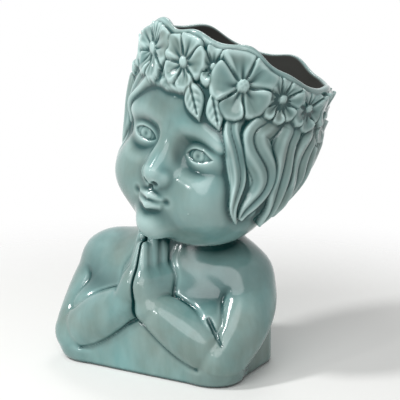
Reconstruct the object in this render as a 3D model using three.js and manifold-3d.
// Glazed ceramic cachepot: the bust of a child with praying hands and a crown of flowers.
// Millimetres, +Z up. The child faces -Y, and the child's left is +X.
// The origin is the middle of the flat underside that the pot stands on.

import * as THREE from "three";
import { LoftGeometry } from "three/addons/geometries/LoftGeometry.js";
import { mergeVertices } from "three/addons/utils/BufferGeometryUtils.js";
import Module from "manifold-3d";

const vector = (x, y, z) => new THREE.Vector3(x, y, z);
const radians = THREE.MathUtils.degToRad;

// Driving dimensions: walls and joints. Facets of two neighbours differ by up to the allowance.
const WALL = 6;
const SLAB = 7;
const JOINT_GAP = 0.3;
const FACET_ALLOWANCE = 0.3;
const SPRIG_SEAT = JOINT_GAP + FACET_ALLOWANCE;

// Driving dimensions: body
const BLOCK_CENTRE = vector(0, -5, 10);
const BLOCK_HALF_SIZE = vector(61, 39, 38);
const BLOCK_ROUNDING = 20;
const SHOULDER_CENTRE = vector(0, 2, 55);
const SHOULDER_RADII = vector(66, 33, 27);
const NAPE_CENTRE = SHOULDER_CENTRE.clone().add(vector(11, 6, 15));
const NAPE_RADII = vector(36, 28, 20);
const BODY_SOFTNESS = 16;

// Driving dimensions: limbs, as on the child's left side. An inset is from the body's side, a
// depth from its front and a drop from the middle of its shoulders.
const BODY_SIDE = BLOCK_CENTRE.x + BLOCK_HALF_SIZE.x;
const BODY_FRONT = BLOCK_CENTRE.y - BLOCK_HALF_SIZE.y;
const limbPlace = (inset, depth, drop) => vector(
  BODY_SIDE - inset,
  BODY_FRONT + depth,
  SHOULDER_CENTRE.z - drop,
);
const SHOULDER_JOINT = limbPlace(15, 48, 2);
const UPPER_ARM_MIDDLE = limbPlace(6, 34, 17);
const RIGHT_UPPER_ARM_MIDDLE = limbPlace(10, 34, 17);
const ELBOW = limbPlace(9.5, 13, 38);
const WRIST_HALF_SPREAD = 9;
const WRIST_DEPTH = 4;
const WRIST_DROP = 11;
const WRIST = vector(WRIST_HALF_SPREAD, BODY_FRONT + WRIST_DEPTH, SHOULDER_CENTRE.z - WRIST_DROP);
const SHOULDER_THICKNESS = 22;
const UPPER_ARM_THICKNESS = 19.5;
const ELBOW_THICKNESS = 16.7;
const FOREARM_START_THICKNESS = 15;
const FOREARM_THICKNESS = 16.5;
const WRIST_THICKNESS = 11.5;
const FOREARM_SWELL_SHARE = 0.35;

// Driving dimensions: hands, from the little finger at the front to the index finger
const LITTLE_KNUCKLE = WRIST.clone().add(vector(-5.5, -3, 14));
const INDEX_KNUCKLE = WRIST.clone().add(vector(4, 15, 16));
const FINGER_LENGTHS = [22, 26, 26, 22];
const FINGER_THICKNESS = 4;
const FINGER_TIP_THICKNESS = 3.2;
const FINGER_LEAN = vector(-3, 7, 0);
const PALM_THICKNESS = 5;
const PALM_ROOT_THICKNESS = 9.5;
const THUMB_SIDE_THICKNESS = 2;
const PALM_HEIGHTS = [0, 0.5, 1, 1.3];

// Driving dimensions: head, in its own frame about its middle
const HEAD_PLACE = NAPE_CENTRE.clone().add(vector(22, -11, 73));
const HEAD_TURN = 9;
const HEAD_TILT_BACK = 7;
const HEAD_LEAN = 13;
const CRANIUM_RADII = vector(56, 54, 60);
const CRANIUM_OFFSET = vector(-1.5, 4, 14);
const CROWN_RADII = vector(59, 57, 72);
const CROWN_OFFSET = vector(-2.5, 2.5, 58);
const JAW_RADII = vector(47, 43, 38);
const JAW_OFFSET = vector(0, -10, -25);
const CHEEK_RADIUS = 21;
const CHEEK_OFFSET = vector(23, -29, -24);
const CHIN_RADIUS = 12;
const CHIN_OFFSET = vector(0, -41, -47);
const BROW_RADII = vector(15, 4.5, 5);
const BROW_OFFSET = vector(19, -42.6, 11);
const SOCKET_RADII = vector(14, 7.5, 9);
const SOCKET_OFFSET = vector(20, -50.8, 0.5);
const LIDDED_EYE_RADIUS = 17.1;
const LIDDED_EYE_OFFSET = vector(20.5, -29, 0);
const NOSE_RADIUS = 6.2;
const NOSE_OFFSET = vector(0, -54.5, -16);
const BRIDGE_RADIUS = 4.5;
const BRIDGE_OFFSET = vector(0, -44.5, 4);
const NOSE_WING_RADIUS = 4;
const NOSE_WING_OFFSET = vector(5.4, -51.6, -18);
const UPPER_LIP_RADIUS = 2.5;
const UPPER_LIP_OFFSET = vector(0, -53.2, -30.6);
const LIP_CORNER_RADIUS = 1.1;
const LIP_CORNER_OFFSET = vector(8.8, -50.3, -31.6);
const LOWER_LIP_RADIUS = 3;
const LOWER_LIP_OFFSET = vector(0, -52.5, -36.3);
const LOWER_LIP_END_RADIUS = 1.7;
const LOWER_LIP_END_OFFSET = vector(6.6, -50.3, -35.2);
const HEAD_SOFTNESS = 14;
const FACE_SOFTNESS = 6;
const BROW_SOFTNESS = 12;
const SOCKET_SOFTNESS = 9;
const NOSE_SOFTNESS = 9;
const FEATURE_SOFTNESS = 2.2;
const RIM_HEIGHT = 58;
const RIM_FALL = 8;
const RIM_HIGH_AZIMUTH = -28;
const RIM_SWELL = 8;
const RIM_SWELL_SPREAD = 15;

// Driving dimensions: neck. Each end is aimed from the middle of the body or of the head.
const NECK_RADIUS = 24;
const NECK_TOP_AIM = vector(-2, 18, -56);
const NECK_END_SHARE = 0.5;

// Driving dimensions: crown of flowers and leaves. A drop is from the plain rim, a turn and a
// spin are in the face of the sprig, and the rim swells behind some of the flowers.
const PETAL_EDGE = 1.8;
const PETAL_CREST = 2.8;
const PETAL_DISH = 0.5;
const PETAL_NOTCH = 0.3;
const PETAL_ROUNDNESS = 0.6;
const PETAL_CREST_SHARE = 0.72;
const NOTCH_EDGE_SHARE = 0.6;
const BEAD_SHARE = 0.27;
const BEAD_SEAT_SHARE = 0.35;
const BEAD_RELIEF = 3.2;
const LEAF_EDGE = 2.4;
const LEAF_RELIEF = 3;
const LEAF_END_SHARE = 0.15;
const LEAF_FULLNESS = 0.8;
const flowers = [
  { azimuth: -28, drop: 8, radius: 16, petals: 5, spin: 90, swell: 1.5 },
  { azimuth: 1, drop: 7.5, radius: 13.5, petals: 5, spin: 80, swell: 1.45 },
  { azimuth: 21, drop: 3.6, radius: 8.5, petals: 5, spin: 30, swell: 0.9 },
  { azimuth: 41, drop: 8.4, radius: 19, petals: 5, spin: 110, swell: 1.7 },
  { azimuth: 67, drop: 9.6, radius: 13, petals: 8, spin: 90, swell: 0.7 },
  { azimuth: 89, drop: 12, radius: 13, petals: 5, spin: 60, swell: 0.1 },
  { azimuth: 117, drop: 17, radius: 17, petals: 5, spin: 90, swell: 0.3 },
  { azimuth: 148, drop: 15.5, radius: 15, petals: 8, spin: 70, swell: 0.2 },
  { azimuth: 178, drop: 18.5, radius: 18, petals: 5, spin: 100, swell: 0.9 },
  { azimuth: 209, drop: 16, radius: 15, petals: 5, spin: 60, swell: 0.1 },
  { azimuth: 239, drop: 18, radius: 17, petals: 5, spin: 80, swell: 0.9 },
  { azimuth: 269, drop: 14.5, radius: 14, petals: 8, spin: 90, swell: 0.2 },
  { azimuth: 299, drop: 14, radius: 16, petals: 5, spin: 70, swell: 0.1 },
];
const leaves = [
  { azimuth: 8, drop: 16, length: 24, halfWidth: 7, turn: -52 },
  { azimuth: 24, drop: 18.5, length: 22, halfWidth: 6.5, turn: -58 },
  { azimuth: 105, drop: 18, length: 22, halfWidth: 6.5, turn: -70 },
  { azimuth: 166, drop: 18, length: 22, halfWidth: 6.5, turn: -110 },
  { azimuth: 229, drop: 18, length: 22, halfWidth: 6.5, turn: -70 },
  { azimuth: 288, drop: 17, length: 22, halfWidth: 6.5, turn: -90 },
];

// Driving dimensions: hair
const LOCK_COUNT = 14;
const LOCK_FIRST_AZIMUTH = 64;
const LOCK_TOP_DROP = 20;
const LOCK_BOTTOM = -30;
const LOCK_HALF_WIDTH = 9;
const LOCK_EDGE = 1;
const LOCK_RELIEF = 4.4;
const LOCK_WAVES = 1.2;
const LOCK_WAVE_PHASE = 20;
const LOCK_WAVE_START_SHARE = 0.2;
const LOCK_TAPER = 0.8;
const LOCK_TAPER_START_SHARE = 0.45;
const FRINGE_HALF_WIDTH = 6;
const FRINGE_RELIEF = 2.6;
const FRINGE_TAPER = 0.7;
const STRAND_VALLEY_SHARE = 0.45;
const lockTurns = [
  { wave: 6.5, lengthening: 0 },
  { wave: 5, lengthening: 5 },
  { wave: 3.5, lengthening: 1 },
  { wave: 4.5, lengthening: 7 },
];
const PARTING = { azimuth: -13, drop: 20 };
const fringePaths = {
  left_fringe: [PARTING, { azimuth: -4, drop: 21 }, { azimuth: 6, drop: 23 }],
  right_fringe: [
    PARTING,
    { azimuth: -26, drop: 24 },
    { azimuth: -42, drop: 32 },
    { azimuth: -52, drop: 50 },
  ],
  left_temple_lock: [
    { azimuth: 38, drop: 23.5 },
    { azimuth: 45, drop: 35 },
    { azimuth: 50, drop: 53 },
  ],
};

// Mesh fineness
const HEAD_COLUMNS = 52;
const HEAD_ROWS = 24;
const FACE_CROWDING = 0.5;
const FACE_ROW_CROWDING = 0.5;
const BODY_COLUMNS = 36;
const BODY_ROWS = 10;
const WELL_ROWS = 8;
const NECK_SIDES = 20;
const LIMB_SIDES = 14;
const LIMB_STATIONS = 5;
const LIMB_BOWS = [25, 50, 75];
const FINGER_SIDES = 7;
const FINGER_STATIONS = 2;
const FINGER_BOWS = [35, 68];
const PETAL_STEPS = 4;
const PETAL_BACK_SHARES = [0.08, 0.5, 0.97];
const BEAD_SIDES = 8;
const BEAD_BOWS = [0, 40, 70];
const ROUND_SIDES = 14;
const STRIP_SIDES = [1, 0.55, 0, -0.55, -1];
const LOCK_STATIONS = 8;
const LEAF_STATIONS = 6;
const WAVE_STATIONS = 10;

// Solids that can be joined and cut

const wasm = await Module();
wasm.setup();
const MERGE_DISTANCE = 1e-4;

function solidFrom(geometry) {
  const bare = new THREE.BufferGeometry();
  bare.setAttribute("position", geometry.attributes.position);
  bare.setIndex(geometry.index);
  const merged = mergeVertices(bare, MERGE_DISTANCE);
  const corners = [];
  for (let start = 0; start < merged.index.count; start += 3) {
    const [a, b, c] = merged.index.array.slice(start, start + 3);
    if (a !== b && b !== c && c !== a) corners.push(a, b, c);
  }
  const triVerts = Uint32Array.from(corners);
  const vertProperties = Float32Array.from(merged.attributes.position.array);
  return new wasm.Manifold(new wasm.Mesh({ numProp: 3, vertProperties, triVerts }));
}

// A cut can leave crumbs, and the piece is the largest body

function cut(solid, ...tools) {
  const rest = tools.reduce((left, tool) => left.subtract(tool), solid);
  return rest.decompose().reduce((one, other) => (other.volume() > one.volume() ? other : one));
}

function geometryFrom(solid) {
  const mesh = solid.getMesh();
  const geometry = new THREE.BufferGeometry();
  geometry.setAttribute("position", new THREE.BufferAttribute(mesh.vertProperties, 3));
  geometry.setIndex(new THREE.BufferAttribute(mesh.triVerts, 1));
  geometry.computeVertexNormals();
  return geometry;
}

// Rounded forms: each is a field, negative inside, that is close to a distance near its surface

function ellipsoid(centre, radii) {
  return (point) => {
    const scaled = point.clone().sub(centre).divide(radii);
    const nearness = scaled.length();
    const slope = scaled.divide(radii).length();
    return slope === 0 ? -Math.min(radii.x, radii.y, radii.z) : (nearness * (nearness - 1)) / slope;
  };
}

const ball = (centre, radius) => ellipsoid(centre, vector(radius, radius, radius));

function roundedBlock(centre, halfSize, rounding) {
  const inner = halfSize.clone().subScalar(rounding);
  return (point) => {
    const past = point.clone().sub(centre);
    past.set(Math.abs(past.x), Math.abs(past.y), Math.abs(past.z)).sub(inner);
    const inside = Math.min(Math.max(past.x, past.y, past.z), 0);
    return past.max(vector(0, 0, 0)).length() + inside - rounding;
  };
}

function taperedRod(start, startRadius, end, endRadius) {
  const along = end.clone().sub(start);
  return (point) => {
    const share = THREE.MathUtils.clamp(point.clone().sub(start).dot(along) / along.lengthSq(), 0, 1);
    const nearest = start.clone().addScaledVector(along, share);
    return point.distanceTo(nearest) - THREE.MathUtils.lerp(startRadius, endRadius, share);
  };
}

function softUnion(softness, ...fields) {
  return (point) => fields.map((field) => field(point)).reduce((one, other) => {
    const share = Math.max(softness - Math.abs(one - other), 0) / softness;
    return Math.min(one, other) - (share * share * softness) / 4;
  });
}

function softCut(softness, field, tool) {
  const left = softUnion(softness, (point) => -field(point), tool);
  return (point) => -left(point);
}

const onBothSides = (field) => (point) => field(vector(Math.abs(point.x), point.y, point.z));

// Distance from a point inside the form, along a direction, to where its field reaches a level

const FARTHEST = 4 * CROWN_RADII.z;
const HALVINGS = 32;

function reach(field, from, direction, level) {
  let near = 0;
  let far = FARTHEST;
  for (let step = 0; step < HALVINGS; step += 1) {
    const middle = (near + far) / 2;
    if (field(from.clone().addScaledVector(direction, middle)) < level) near = middle;
    else far = middle;
  }
  return near;
}

// Azimuth 0 is the front, and +90 degrees is the child's left. The pole on the side of
// the neck is drawn over to the neck's own direction.

function heading(azimuth, latitude, neckAim) {
  const level = Math.cos(latitude);
  const direction = vector(Math.sin(azimuth) * level, -Math.cos(azimuth) * level, Math.sin(latitude));
  const pull = Math.max(0, direction.z * Math.sign(neckAim.z)) ** 2 / Math.abs(neckAim.z);
  return direction.add(vector(neckAim.x, neckAim.y, 0).multiplyScalar(pull)).normalize();
}

function surfacePoint(form, azimuth, latitude, level) {
  const direction = heading(azimuth, latitude, form.neckAim);
  return form.from.clone().addScaledVector(direction, reach(form.field, form.from, direction, level));
}

// The latitude at which a form's surface crosses a height

function latitudeAt(form, azimuth, height, level) {
  let low = -Math.PI / 2;
  let high = Math.PI / 2;
  for (let step = 0; step < HALVINGS; step += 1) {
    const trial = (low + high) / 2;
    if (surfacePoint(form, azimuth, trial, level).z < height) low = trial;
    else high = trial;
  }
  return low;
}

function ring(columns, pointAt) {
  return Array.from({ length: columns }, (_, column) => pointAt((2 * Math.PI * column) / columns));
}

const shares = (count) => Array.from({ length: count + 1 }, (_, step) => step / count);

// A loft that closes on a point at each end, and one that runs round into its own start

function drawnTogether(section) {
  const sum = section.reduce((total, point) => total.add(point), vector(0, 0, 0));
  return section.map(() => sum.clone().divideScalar(section.length));
}

function closedLoft(sections) {
  const last = sections[sections.length - 1];
  return solidFrom(new LoftGeometry([drawnTogether(sections[0]), ...sections, drawnTogether(last)]));
}

const loopedLoft = (sections) => solidFrom(new LoftGeometry([...sections, sections[0]]));

// Body casting: a bell with its mouth at the foot

const bodyMiddle = vector(0, 0, SHOULDER_CENTRE.z / 2);
const body = {
  from: bodyMiddle,
  neckAim: NAPE_CENTRE.clone().sub(bodyMiddle),
  field: softUnion(
    BODY_SOFTNESS,
    roundedBlock(BLOCK_CENTRE, BLOCK_HALF_SIZE, BLOCK_ROUNDING),
    ellipsoid(SHOULDER_CENTRE, SHOULDER_RADII),
    ellipsoid(NAPE_CENTRE, NAPE_RADII),
  ),
};
const POLE = radians(84);

function bodyRings(level) {
  return shares(BODY_ROWS).map((share) => ring(BODY_COLUMNS, (azimuth) => {
    const foot = latitudeAt(body, azimuth, 0, level);
    return surfacePoint(body, azimuth, THREE.MathUtils.lerp(foot, POLE, share), level);
  }));
}

const bodySolid = (level) => closedLoft(bodyRings(level));

const bodyBell = () => loopedLoft([...bodyRings(0), ...bodyRings(-WALL).reverse()]);

// The slab fills the mouth of the bell, and its underside is level with the bell's edge

function baseSlab() {
  const outline = (height) => ring(BODY_COLUMNS, (azimuth) => {
    const level = -WALL - JOINT_GAP;
    return surfacePoint(body, azimuth, latitudeAt(body, azimuth, height, level), level);
  });
  return closedLoft([outline(0), outline(SLAB)]);
}

// Head casting: a cup with its mouth at the rim

const sided = (place, side) => vector(side * place.x, place.y, place.z);
const skull = {
  from: vector(0, 0, 0),
  neckAim: NECK_TOP_AIM,
  field: softUnion(
    HEAD_SOFTNESS,
    ellipsoid(CRANIUM_OFFSET, CRANIUM_RADII),
    ellipsoid(CROWN_OFFSET, CROWN_RADII),
    ellipsoid(JAW_OFFSET, JAW_RADII),
  ),
};
const cheeksOn = softUnion(
  FACE_SOFTNESS,
  skull.field,
  onBothSides(ball(CHEEK_OFFSET, CHEEK_RADIUS)),
  ball(CHIN_OFFSET, CHIN_RADIUS),
);
const brow = onBothSides(ellipsoid(BROW_OFFSET, BROW_RADII));
const socket = onBothSides(ellipsoid(SOCKET_OFFSET, SOCKET_RADII));
const socketsIn = softCut(SOCKET_SOFTNESS, softUnion(BROW_SOFTNESS, cheeksOn, brow), socket);
const noseBridge = taperedRod(BRIDGE_OFFSET, BRIDGE_RADIUS, NOSE_OFFSET, NOSE_RADIUS);
const upperLip = taperedRod(UPPER_LIP_OFFSET, UPPER_LIP_RADIUS, LIP_CORNER_OFFSET, LIP_CORNER_RADIUS);
const lowerLip = taperedRod(LOWER_LIP_OFFSET, LOWER_LIP_RADIUS, LOWER_LIP_END_OFFSET, LOWER_LIP_END_RADIUS);
const head = {
  ...skull,
  field: softUnion(
    FEATURE_SOFTNESS,
    softUnion(NOSE_SOFTNESS, socketsIn, noseBridge),
    onBothSides(ball(NOSE_WING_OFFSET, NOSE_WING_RADIUS)),
    onBothSides(upperLip),
    onBothSides(lowerLip),
    onBothSides(ball(LIDDED_EYE_OFFSET, LIDDED_EYE_RADIUS)),
  ),
};

// The plain rim falls away from its highest place, and the flowers swell it. Azimuths are in degrees.

function plainRim(azimuth) {
  const away = (1 - Math.cos(radians(azimuth - RIM_HIGH_AZIMUTH))) / 2;
  return RIM_HEIGHT - RIM_FALL * away;
}

function turnBetween(azimuth, other) {
  return THREE.MathUtils.euclideanModulo(azimuth - other + 180, 360) - 180;
}

function rimHeight(azimuth) {
  return flowers.reduce((height, flower) => {
    const turn = turnBetween(azimuth, flower.azimuth);
    return height + RIM_SWELL * flower.swell * Math.exp(-((turn / RIM_SWELL_SPREAD) ** 2));
  }, plainRim(azimuth));
}

// The columns and the rows of the head crowd together at the face

const faceCrowded = (turn) => turn - FACE_CROWDING * Math.sin(turn);
const rowCrowded = (share) => share + (FACE_ROW_CROWDING * Math.sin(2 * Math.PI * share)) / (2 * Math.PI);

function headRings(form, level, rows) {
  const columns = ring(HEAD_COLUMNS, (turn) => {
    const azimuth = faceCrowded(turn);
    const rim = latitudeAt(form, azimuth, rimHeight(THREE.MathUtils.radToDeg(azimuth)), level);
    return { azimuth, rim };
  });
  return shares(rows).map((share) => columns.map(({ azimuth, rim }) => {
    const latitude = THREE.MathUtils.lerp(-POLE, rim, rowCrowded(share));
    return surfacePoint(form, azimuth, latitude, level);
  }));
}

const headCup = () => loopedLoft([
  ...headRings(head, 0, HEAD_ROWS),
  ...headRings(skull, -WALL, WELL_ROWS).reverse(),
]);

const headSolid = (level) => closedLoft(headRings(head, level, HEAD_ROWS));

const headWell = () => closedLoft(headRings(skull, -WALL, WELL_ROWS));

// The room over the rim, which the petals leave free

function roomOverRim() {
  const rimRing = (level, rise) => ring(HEAD_COLUMNS, (turn) => {
    const azimuth = faceCrowded(turn);
    const height = rimHeight(THREE.MathUtils.radToDeg(azimuth));
    const rim = surfacePoint(skull, azimuth, latitudeAt(skull, azimuth, height, level), level);
    return rim.setZ(rim.z + rise);
  });
  return loopedLoft([
    rimRing(-WALL, 0),
    rimRing(2 * WALL, 0),
    rimRing(2 * WALL, RIM_HEIGHT),
    rimRing(-WALL, RIM_HEIGHT),
  ]);
}

const headGroup = new THREE.Group();
headGroup.position.copy(HEAD_PLACE);
headGroup.rotation.set(radians(-HEAD_TILT_BACK), radians(HEAD_LEAN), radians(-HEAD_TURN), "ZYX");
headGroup.updateMatrixWorld();

// Neck: a straight sleeve from hollow to hollow, trimmed flush with the inside of both walls

const neckTop = headGroup.localToWorld(head.neckAim.clone().multiplyScalar(NECK_END_SHARE));
const neckFoot = body.from.clone().addScaledVector(body.neckAim, NECK_END_SHARE);

function neckRing(share, radius) {
  const along = neckTop.clone().sub(neckFoot);
  const across = vector(0, 1, 0).cross(along).normalize();
  const up = along.clone().normalize().cross(across);
  const centre = neckFoot.clone().addScaledVector(along, share);
  return ring(NECK_SIDES, (angle) => centre.clone()
    .addScaledVector(across, Math.cos(angle) * radius)
    .addScaledVector(up, Math.sin(angle) * radius));
}

function neckSleeve() {
  const bore = NECK_RADIUS - WALL;
  return loopedLoft([
    neckRing(0, NECK_RADIUS),
    neckRing(1, NECK_RADIUS),
    neckRing(1, bore),
    neckRing(0, bore),
  ]);
}

const neckRod = (radius) => closedLoft([neckRing(0, radius), neckRing(1, radius)]);

// Limbs: round sections along a bent bone, with round ends

function bone(points, radii) {
  const curve = new THREE.CatmullRomCurve3(points);
  const thickness = new THREE.CatmullRomCurve3(radii.map((radius) => vector(radius, 0, 0)));
  return { curve, radiusAt: (share) => thickness.getPoint(share).x };
}

function limb({ curve, radiusAt }, grow, sides, stations, bows) {
  const section = (share, bow) => {
    const tangent = curve.getTangent(share);
    const across = vector(0, 1, 0).cross(tangent).normalize();
    const up = tangent.clone().cross(across);
    const radius = radiusAt(share) + grow;
    const centre = curve.getPoint(share).addScaledVector(tangent, Math.sin(bow) * radius);
    return ring(sides, (angle) => centre.clone()
      .addScaledVector(across, Math.cos(angle) * Math.cos(bow) * radius)
      .addScaledVector(up, Math.sin(angle) * Math.cos(bow) * radius));
  };
  return closedLoft([
    ...bows.toReversed().map((bow) => section(0, radians(-bow))),
    ...shares(stations).map((share) => section(share, 0)),
    ...bows.map((bow) => section(1, radians(bow))),
  ]);
}

function upperArm(side, grow) {
  const middle = side > 0 ? UPPER_ARM_MIDDLE : RIGHT_UPPER_ARM_MIDDLE;
  const points = [SHOULDER_JOINT, middle, ELBOW].map((place) => sided(place, side));
  const radii = [SHOULDER_THICKNESS, UPPER_ARM_THICKNESS, ELBOW_THICKNESS];
  return limb(bone(points, radii), grow, LIMB_SIDES, LIMB_STATIONS, LIMB_BOWS);
}

function forearm(side, grow) {
  const swell = ELBOW.clone().lerp(WRIST, FOREARM_SWELL_SHARE);
  const points = [ELBOW, swell, WRIST].map((place) => sided(place, side));
  const radii = [FOREARM_START_THICKNESS, FOREARM_THICKNESS, WRIST_THICKNESS];
  return limb(bone(points, radii), grow, LIMB_SIDES, LIMB_STATIONS, LIMB_BOWS);
}

// A hand is four fingers on a palm that runs down to the wrist

function hand(side) {
  const fingers = FINGER_LENGTHS.map((length, order) => {
    const knuckle = LITTLE_KNUCKLE.clone().lerp(INDEX_KNUCKLE, order / (FINGER_LENGTHS.length - 1));
    const tip = knuckle.clone().add(FINGER_LEAN).add(vector(0, 0, length));
    const halfway = knuckle.clone().lerp(tip, 0.5);
    const points = [knuckle, halfway, tip].map((place) => sided(place, side));
    const radii = [FINGER_THICKNESS, FINGER_THICKNESS, FINGER_TIP_THICKNESS];
    return limb(bone(points, radii), 0, FINGER_SIDES, FINGER_STATIONS, FINGER_BOWS);
  });
  return fingers.reduce((one, other) => one.add(other), palm(side));
}

// The palm's outline at a height runs from the finger line to the middle plane

function palm(side) {
  const outline = (share) => {
    const front = WRIST.clone().lerp(LITTLE_KNUCKLE, share);
    const rear = WRIST.clone().lerp(INDEX_KNUCKLE, share);
    const wide = THREE.MathUtils.lerp(PALM_ROOT_THICKNESS, PALM_THICKNESS, Math.min(1, share));
    const corners = [
      vector(0, front.y - wide, front.z),
      vector(front.x + wide, front.y - wide / 2, front.z),
      vector(rear.x + wide, rear.y, rear.z),
      vector(rear.x, rear.y + wide * THUMB_SIDE_THICKNESS, rear.z),
      vector(0, rear.y + wide * THUMB_SIDE_THICKNESS, rear.z),
    ].map((place) => sided(place, side));
    return side > 0 ? corners : corners.reverse();
  };
  return closedLoft(PALM_HEIGHTS.map(outline));
}

// Sprigs lie on the head: a flat place about a middle is carried out to the head's surface

function sprigPlace({ azimuth, drop }) {
  const turn = radians(azimuth);
  const out = heading(turn, latitudeAt(head, turn, plainRim(azimuth) - drop, 0), head.neckAim);
  const east = vector(0, 0, 1).cross(out).normalize();
  const north = out.clone().cross(east);
  const middle = out.clone().multiplyScalar(reach(head.field, head.from, out, 0));
  return (right, up, lift) => {
    const direction = middle.clone().addScaledVector(east, right).addScaledVector(north, up).normalize();
    return direction.multiplyScalar(reach(head.field, head.from, direction, 0) + lift);
  };
}

const DISH_LIFT = SPRIG_SEAT + PETAL_EDGE + PETAL_DISH;
const CUT_DEPTH = WALL - PETAL_EDGE;

// A flower's rings run from the middle of its back, round its edge, to the middle of its face

function flowerPetals(flower, grow, sink) {
  const place = sprigPlace(flower);
  const petalRing = (share, liftAt) => ring(flower.petals * PETAL_STEPS, (turn) => {
    const fullness = Math.abs(Math.cos((flower.petals * turn) / 2)) ** PETAL_ROUNDNESS;
    const radius = (flower.radius * (1 - PETAL_NOTCH * (1 - fullness)) + grow) * share;
    const angle = turn + radians(flower.spin);
    return place(Math.cos(angle) * radius, Math.sin(angle) * radius, liftAt(fullness) + grow);
  });
  const seat = SPRIG_SEAT - sink - 2 * grow;
  const edgeLift = (fullness) => PETAL_EDGE * THREE.MathUtils.lerp(NOTCH_EDGE_SHARE, 1, fullness);
  return closedLoft([
    ...PETAL_BACK_SHARES.map((share) => petalRing(share, () => seat)),
    petalRing(1, (fullness) => SPRIG_SEAT + edgeLift(fullness)),
    petalRing(PETAL_CREST_SHARE, (fullness) => SPRIG_SEAT + PETAL_EDGE + PETAL_CREST * fullness),
    petalRing(BEAD_SEAT_SHARE, () => DISH_LIFT),
  ]);
}

function flowerBead(flower) {
  const place = sprigPlace(flower);
  const radius = flower.radius * BEAD_SHARE;
  const beadRing = (bow) => ring(BEAD_SIDES, (angle) => place(
    Math.cos(angle) * Math.cos(bow) * radius,
    Math.sin(angle) * Math.cos(bow) * radius,
    DISH_LIFT + JOINT_GAP + Math.sin(bow) * BEAD_RELIEF,
  ));
  return closedLoft(BEAD_BOWS.map((bow) => beadRing(radians(bow))));
}

// The plain round that hair leaves free about a flower

function flowerRound(flower) {
  const place = sprigPlace(flower);
  const roundRing = (lift) => ring(ROUND_SIDES, (angle) => {
    const radius = (flower.radius + JOINT_GAP) / Math.cos(Math.PI / ROUND_SIDES);
    return place(Math.cos(angle) * radius, Math.sin(angle) * radius, lift);
  });
  return closedLoft([roundRing(-CUT_DEPTH), roundRing(2 * LOCK_RELIEF)]);
}

// A strip of relief along a path on the head: leaves and locks of hair

const PATH_STEP = 0.01;

function strip(path, stations, halfWidthAt, liftAt, grow, sink) {
  const section = (share) => {
    const here = path(share);
    const along = path(Math.min(1, share + PATH_STEP)).sub(path(Math.max(0, share - PATH_STEP)));
    const out = here.clone().normalize();
    const across = out.clone().cross(along).normalize();
    const half = halfWidthAt(share) + grow;
    const point = (side, lift) => {
      const direction = here.clone().addScaledVector(across, side * half).normalize();
      return direction.multiplyScalar(reach(head.field, head.from, direction, 0) + lift);
    };
    const seat = SPRIG_SEAT - sink - grow;
    const top = STRIP_SIDES.map((side) => point(side, SPRIG_SEAT + grow + liftAt(share, side)));
    return [point(1, seat), ...top, point(-1, seat), point(0, seat)];
  };
  return closedLoft(shares(stations).map(section));
}

function headPath(places) {
  const curve = new THREE.CatmullRomCurve3(places.map((place) => sprigPlace(place)(0, 0, 0)));
  return (share) => curve.getPoint(share);
}

function leafStrip(leaf, grow, sink) {
  const place = sprigPlace(leaf);
  const right = Math.cos(radians(leaf.turn)) * leaf.length;
  const up = Math.sin(radians(leaf.turn)) * leaf.length;
  const path = (share) => place(right * share, up * share, 0);
  const fullness = (share) => Math.max(LEAF_END_SHARE, Math.sin(Math.PI * share ** LEAF_FULLNESS));
  const halfWidthAt = (share) => leaf.halfWidth * fullness(share);
  const liftAt = (share, side) => LEAF_EDGE + LEAF_RELIEF * (1 - side * side) * fullness(share);
  return strip(path, LEAF_STATIONS, halfWidthAt, liftAt, grow, sink);
}

// Wavy locks hang round the sides and the back, and the fringe runs from the parting

function lockPath(order, azimuth) {
  const { wave, lengthening } = lockTurns[order % lockTurns.length];
  const bottom = plainRim(azimuth) - LOCK_BOTTOM + lengthening;
  return headPath(shares(WAVE_STATIONS).map((share) => {
    const swing = Math.sin(2 * Math.PI * LOCK_WAVES * share - radians(LOCK_WAVE_PHASE * order));
    const start = THREE.MathUtils.smoothstep(share, 0, LOCK_WAVE_START_SHARE);
    return {
      azimuth: azimuth - wave * swing * start,
      drop: THREE.MathUtils.lerp(LOCK_TOP_DROP, bottom, share),
    };
  }));
}

// A lock narrows to its tip, and a valley parts it into two strands

const hairTaper = (share, taper) => 1 - taper * THREE.MathUtils.smoothstep(share, LOCK_TAPER_START_SHARE, 1);
const strandRise = (side) => {
  if (side === 0) return STRAND_VALLEY_SHARE;
  return Math.abs(side) < 1 ? 1 : 0;
};
const lockWidth = (share) => LOCK_HALF_WIDTH * hairTaper(share, LOCK_TAPER);
const lockLift = (share, side) => LOCK_EDGE + LOCK_RELIEF * strandRise(side);
const fringeWidth = (share) => FRINGE_HALF_WIDTH * hairTaper(share, FRINGE_TAPER);
const fringeLift = (share, side) => LOCK_EDGE + FRINGE_RELIEF * strandRise(side);

// Scene graph

const glaze = { color: 0x7ba39b, roughness: 0.15, metalness: 0 };
const bisque = { color: 0xd8cdb8, roughness: 0.85, metalness: 0 };

function piece(name, solid, finish) {
  const mesh = new THREE.Mesh(geometryFrom(solid), new THREE.MeshStandardMaterial(finish));
  mesh.name = name;
  return mesh;
}

const pot = new THREE.Group();
pot.add(headGroup);

const inPot = (solid) => solid.transform(headGroup.matrixWorld.elements);
const inHead = (solid) => solid.transform(headGroup.matrixWorld.clone().invert().elements);
const bodyKeepOut = bodySolid(JOINT_GAP);
const headKeepOut = inPot(headSolid(JOINT_GAP));
const neckKeepOut = neckRod(NECK_RADIUS + JOINT_GAP);
pot.add(piece("base_slab", baseSlab(), bisque));
pot.add(piece("torso_shell", cut(bodyBell(), neckKeepOut, headKeepOut), glaze));
pot.add(piece("neck_sleeve", cut(neckSleeve(), bodySolid(-WALL), inPot(headWell())), glaze));
headGroup.add(piece("head_shell", cut(headCup(), inHead(neckKeepOut)), glaze));

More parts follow.
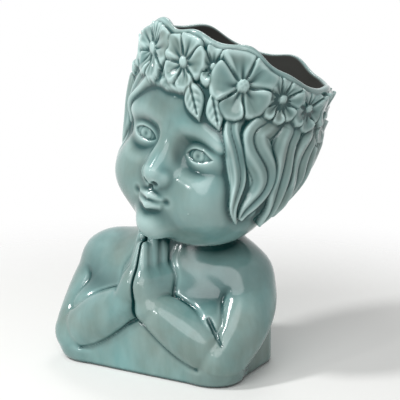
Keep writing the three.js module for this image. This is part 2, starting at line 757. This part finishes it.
const MIDDLE_REACH = 4 * BLOCK_HALF_SIZE.x;
for (const [name, side] of [["left", 1], ["right", -1]]) {
  const otherSide = new THREE.BoxGeometry(MIDDLE_REACH, 2 * MIDDLE_REACH, 2 * MIDDLE_REACH);
  otherSide.translate(-side * (MIDDLE_REACH / 2 - JOINT_GAP / 2), 0, 0);
  const middlePlane = solidFrom(otherSide);
  const upper = cut(upperArm(side, 0), bodyKeepOut);
  const lower = cut(forearm(side, 0), bodyKeepOut, upperArm(side, JOINT_GAP), middlePlane);
  const keepOuts = [bodyKeepOut, headKeepOut, neckKeepOut, forearm(side, JOINT_GAP), middlePlane];
  pot.add(piece(`${name}_upper_arm`, upper, glaze));
  pot.add(piece(`${name}_forearm`, lower, glaze));
  pot.add(piece(`${name}_hand`, cut(hand(side), ...keepOuts), glaze));
}

// Each sprig is cut by the ones that were laid before it, and hair by the round of each flower

const laidPetals = [];
const laidOverHair = [];
const overRim = roomOverRim();

function lay(name, solid, cutters) {
  headGroup.add(piece(name, cut(solid, ...cutters), glaze));
}

flowers.forEach((flower, order) => {
  lay(`flower_${order + 1}_petals`, flowerPetals(flower, 0, 0), [...laidPetals, overRim]);
  laidPetals.push(flowerPetals(flower, JOINT_GAP, CUT_DEPTH));
  laidOverHair.push(flowerRound(flower));
});
flowers.forEach((flower, order) => {
  lay(`flower_${order + 1}_bead`, flowerBead(flower), laidPetals.toSpliced(order, 1));
});
leaves.forEach((leaf, order) => {
  lay(`leaf_${order + 1}`, leafStrip(leaf, 0, 0), laidPetals);
  laidPetals.push(leafStrip(leaf, JOINT_GAP, CUT_DEPTH));
  laidOverHair.push(leafStrip(leaf, JOINT_GAP, CUT_DEPTH));
});
for (const [name, points] of Object.entries(fringePaths)) {
  const path = headPath(points);
  const fringe = (grow, sink) => strip(path, LOCK_STATIONS, fringeWidth, fringeLift, grow, sink);
  lay(name, fringe(0, 0), laidOverHair);
  laidOverHair.push(fringe(JOINT_GAP, CUT_DEPTH));
}
for (let order = 0; order < LOCK_COUNT; order += 1) {
  const spread = 360 - 2 * LOCK_FIRST_AZIMUTH;
  const path = lockPath(order, LOCK_FIRST_AZIMUTH + (spread * order) / (LOCK_COUNT - 1));
  const lock = (grow, sink) => strip(path, LOCK_STATIONS, lockWidth, lockLift, grow, sink);
  lay(`hair_lock_${order + 1}`, lock(0, 0), laidOverHair);
  laidOverHair.push(lock(JOINT_GAP, CUT_DEPTH));
}

export default pot;
